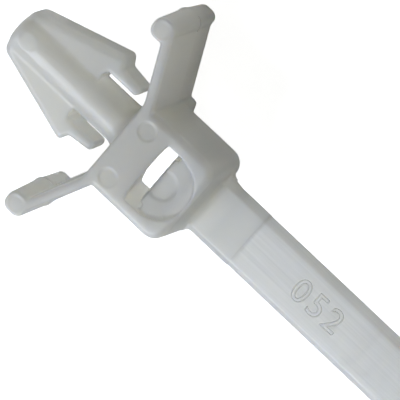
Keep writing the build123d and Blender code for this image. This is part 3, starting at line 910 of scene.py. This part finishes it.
def bead_tree():
    """Geometry nodes that lay a thin round bead along bare edges."""
    tree = bpy.data.node_groups.new("bead_on_edges", "GeometryNodeTree")
    given = tree_inputs(tree, {"Edges": "Geometry", "Radius": "Float", "Material": "Material"})
    path = add_node(tree, "GeometryNodeMeshToCurve", links={"Mesh": given["Edges"]})
    even = add_node(
        tree, "GeometryNodeResampleCurve", {"mode": "LENGTH"}, {"Length": BEAD_STEP},
        {"Curve": path.outputs["Curve"]})
    bead = add_node(
        tree, "GeometryNodeCurveToMesh", values={"Fill Caps": True},
        links={"Curve": even.outputs["Curve"],
               "Profile Curve": round_section(tree, given["Radius"])})
    paint_and_give(tree, bead.outputs["Mesh"], given)
    return tree


class TIE_OT_parting_line(bpy.types.Operator):
    """Lay the fine bead that the tool leaves on the wings and at the end of the strap's root"""

    bl_idname = "cable_tie.parting_line"
    bl_label = "Parting Line"

    def execute(self, context):
        sizes = in_mm(context.scene.tie_parting)
        inputs = {"Radius": sizes["bead"] / 2, "Material": natural_nylon()}
        mesh = grown(bead_tree(), inputs, "parting_line", witness_lines(sizes))
        hold_in_box(mesh)
        finished_piece("parting_line", mesh)
        return {"FINISHED"}


# Raised digits.


def outline_tree():
    """Geometry nodes that lay a thin round line along the outline of plain digits."""
    tree = bpy.data.node_groups.new("outlined_digits", "GeometryNodeTree")
    given = tree_inputs(tree, {
        "Digits": "String", "Size": "Float", "Spacing": "Float", "Line": "Float",
        "Place": "Vector", "Material": "Material"})
    glyphs = add_node(
        tree, "GeometryNodeStringToCurves", {"align_x": "CENTER", "align_y": "MIDDLE"},
        links={"String": given["Digits"], "Size": given["Size"],
               "Character Spacing": given["Spacing"]})
    curves = add_node(
        tree, "GeometryNodeRealizeInstances", links={"Geometry": glyphs.outputs["Curve Instances"]})
    even = add_node(
        tree, "GeometryNodeResampleCurve", {"mode": "LENGTH"}, {"Length": DIGIT_STEP},
        {"Curve": curves.outputs["Geometry"]})
    tube = add_node(
        tree, "GeometryNodeCurveToMesh",
        links={"Curve": even.outputs["Curve"],
               "Profile Curve": round_section(tree, given["Line"])})
    placed = add_node(
        tree, "GeometryNodeTransform",
        links={"Geometry": tube.outputs["Mesh"], "Translation": given["Place"]})
    paint_and_give(tree, placed.outputs["Geometry"], given)
    return tree


class TIE_OT_digits(bpy.types.Operator):
    """Raise plain outlined digits on the smooth side of the strap"""

    bl_idname = "cable_tie.digits"
    bl_label = "Digits"

    def execute(self, context):
        sizes = in_mm(context.scene.tie_digits)
        face = context.scene.tie_strap.thickness / MM / 2
        inputs = {
            "Digits": sizes["text"], "Size": sizes["height"] * sizes["type_size"],
            "Spacing": sizes["spacing"],
            "Line": sizes["line"] / 2, "Place": (sizes["centre_x"], 0, face),
            "Material": natural_nylon()}
        mesh = grown(outline_tree(), inputs, "strap_digits")
        finished_piece("strap_digits", mesh)
        return {"FINISHED"}


# Stage.


def white_floor(paper_tint):
    """Matt white paper: pale in every reflection, white to the camera, and grey in shadow."""
    material = bpy.data.materials.new("matt_white_paper")
    material.use_nodes = True
    tree = material.node_tree
    tree.nodes.clear()
    paper = add_node(tree, "ShaderNodeBsdfDiffuse", values={"Color": paper_tint})
    glow = add_node(
        tree, "ShaderNodeEmission", values={"Color": linear("#FFFFFF"), "Strength": 0.8})
    both = add_node(
        tree, "ShaderNodeAddShader",
        links={0: paper.outputs["BSDF"], 1: glow.outputs["Emission"]})
    ray = add_node(tree, "ShaderNodeLightPath")
    choice = add_node(
        tree, "ShaderNodeMixShader",
        links={0: ray.outputs["Is Camera Ray"], 1: paper.outputs["BSDF"],
               2: both.outputs["Shader"]})
    add_node(tree, "ShaderNodeOutputMaterial", links={"Surface": choice.outputs["Shader"]})
    return material


def camera_axes(stage):
    """Right, up and back of the camera, as unit vectors."""
    back = Vector((
        math.cos(stage.elevation) * math.cos(stage.azimuth),
        math.cos(stage.elevation) * math.sin(stage.azimuth), math.sin(stage.elevation)))
    level = (-back).cross(Vector((0, 0, 1))).normalized()
    upright = level.cross(-back)
    right = math.cos(stage.roll) * level + math.sin(stage.roll) * upright
    up = -math.sin(stage.roll) * level + math.cos(stage.roll) * upright
    return right, up, back


def add_camera(stage):
    """The camera at the photograph's place."""
    right, up, back = camera_axes(stage)
    data = bpy.data.cameras.new("camera")
    data.lens = stage.lens
    data.sensor_width = 36.0
    data.clip_start, data.clip_end = 0.01, 100.0
    camera = bpy.data.objects.new("camera", data)
    bpy.context.scene.collection.objects.link(camera)
    place = Matrix((right, up, back)).transposed().to_4x4()
    place.translation = Vector(stage.target) + back * stage.distance
    camera.matrix_world = place
    bpy.context.scene.camera = camera


def add_key_lamp(stage):
    """A square lamp that shines on the head from the camera's lower left."""
    towards = Matrix(camera_axes(stage)).transposed() @ Vector(stage.key_from)
    data = bpy.data.lights.new("key", "AREA")
    data.size = stage.key_size
    data.energy = stage.key_level
    data.color = stage.key_tint[:3]
    lamp = bpy.data.objects.new("key", data)
    bpy.context.scene.collection.objects.link(lamp)
    lamp.location = Vector((stage.key_aim, 0, 0)) + towards.normalized() * stage.key_distance
    lamp.rotation_mode = "QUATERNION"
    lamp.rotation_quaternion = towards.to_track_quat("Z", "Y")


def add_world(tint, level):
    """Even light from all round, and white to the camera and to light that passes the nylon."""
    world = bpy.data.worlds.new("studio")
    bpy.context.scene.world = world
    world.use_nodes = True
    tree = world.node_tree
    tree.nodes.clear()
    ray = add_node(tree, "ShaderNodeLightPath")
    seen = add_node(
        tree, "ShaderNodeMath", {"operation": "MAXIMUM"},
        links={0: ray.outputs["Is Camera Ray"], 1: ray.outputs["Is Transmission Ray"]})
    around = add_node(
        tree, "ShaderNodeBackground", values={"Color": tint, "Strength": level})
    white = add_node(
        tree, "ShaderNodeBackground", values={"Color": linear("#FFFFFF"), "Strength": 1.0})
    choice = add_node(
        tree, "ShaderNodeMixShader",
        links={0: seen.outputs["Value"], 1: around.outputs["Background"],
               2: white.outputs["Background"]})
    add_node(tree, "ShaderNodeOutputWorld", links={"Surface": choice.outputs["Shader"]})


class TIE_OT_stage(bpy.types.Operator):
    """Set up the floor, the lamp, the world and the camera"""

    bl_idname = "cable_tie.stage"
    bl_label = "Stage"

    def execute(self, context):
        stage = context.scene.tie_stage
        half = stage.floor_half
        level = CAD_LOW.z - stage.floor_gap
        mesh = bpy.data.meshes.new("floor")
        corners = [
            (-half, -half, level), (half, -half, level), (half, half, level), (-half, half, level)]
        mesh.from_pydata(corners, [], [(0, 1, 2, 3)])
        mesh.materials.append(white_floor(stage.paper))
        object_from("floor", mesh)
        add_key_lamp(stage)
        add_world(stage.world_tint, stage.world_level)
        add_camera(stage)
        context.scene.view_settings.view_transform = "Standard"
        return {"FINISHED"}


# Panel and running.


SETTINGS = (
    ("tie_moulding", TieMouldingSettings),
    ("tie_strap", TieStrapSettings),
    ("tie_parting", TiePartingSettings),
    ("tie_digits", TieDigitSettings),
    ("tie_nylon", TieNylonSettings),
    ("tie_stage", TieStageSettings),
)
OPERATORS = (TIE_OT_moulding, TIE_OT_parting_line, TIE_OT_digits, TIE_OT_stage)


class TIE_PT_panel(bpy.types.Panel):
    """Sizes of the cable tie and the buttons that build it"""

    bl_idname = "TIE_PT_panel"
    bl_label = "Cable Tie"
    bl_space_type = "VIEW_3D"
    bl_region_type = "UI"
    bl_category = "Cable Tie"

    def draw(self, context):
        for name, group in SETTINGS:
            box = self.layout.box()
            box.label(text=group.__doc__)
            for prop in group.__annotations__:
                box.prop(getattr(context.scene, name), prop)
        for operator in OPERATORS:
            self.layout.operator(operator.bl_idname)


def register():
    """Register the settings, the operators and the panel."""
    for name, group in SETTINGS:
        bpy.utils.register_class(group)
        setattr(bpy.types.Scene, name, PointerProperty(type=group))
    for operator in OPERATORS:
        bpy.utils.register_class(operator)
    bpy.utils.register_class(TIE_PT_panel)


def unregister():
    """Take back what register() did."""
    bpy.utils.unregister_class(TIE_PT_panel)
    for operator in reversed(OPERATORS):
        bpy.utils.unregister_class(operator)
    for name, group in reversed(SETTINGS):
        delattr(bpy.types.Scene, name)
        bpy.utils.unregister_class(group)


def main():
    """Build everything in order."""
    register()
    bpy.ops.cable_tie.moulding()
    bpy.ops.cable_tie.parting_line()
    bpy.ops.cable_tie.digits()
    bpy.ops.cable_tie.stage()


if __name__ == "__main__":
    main()
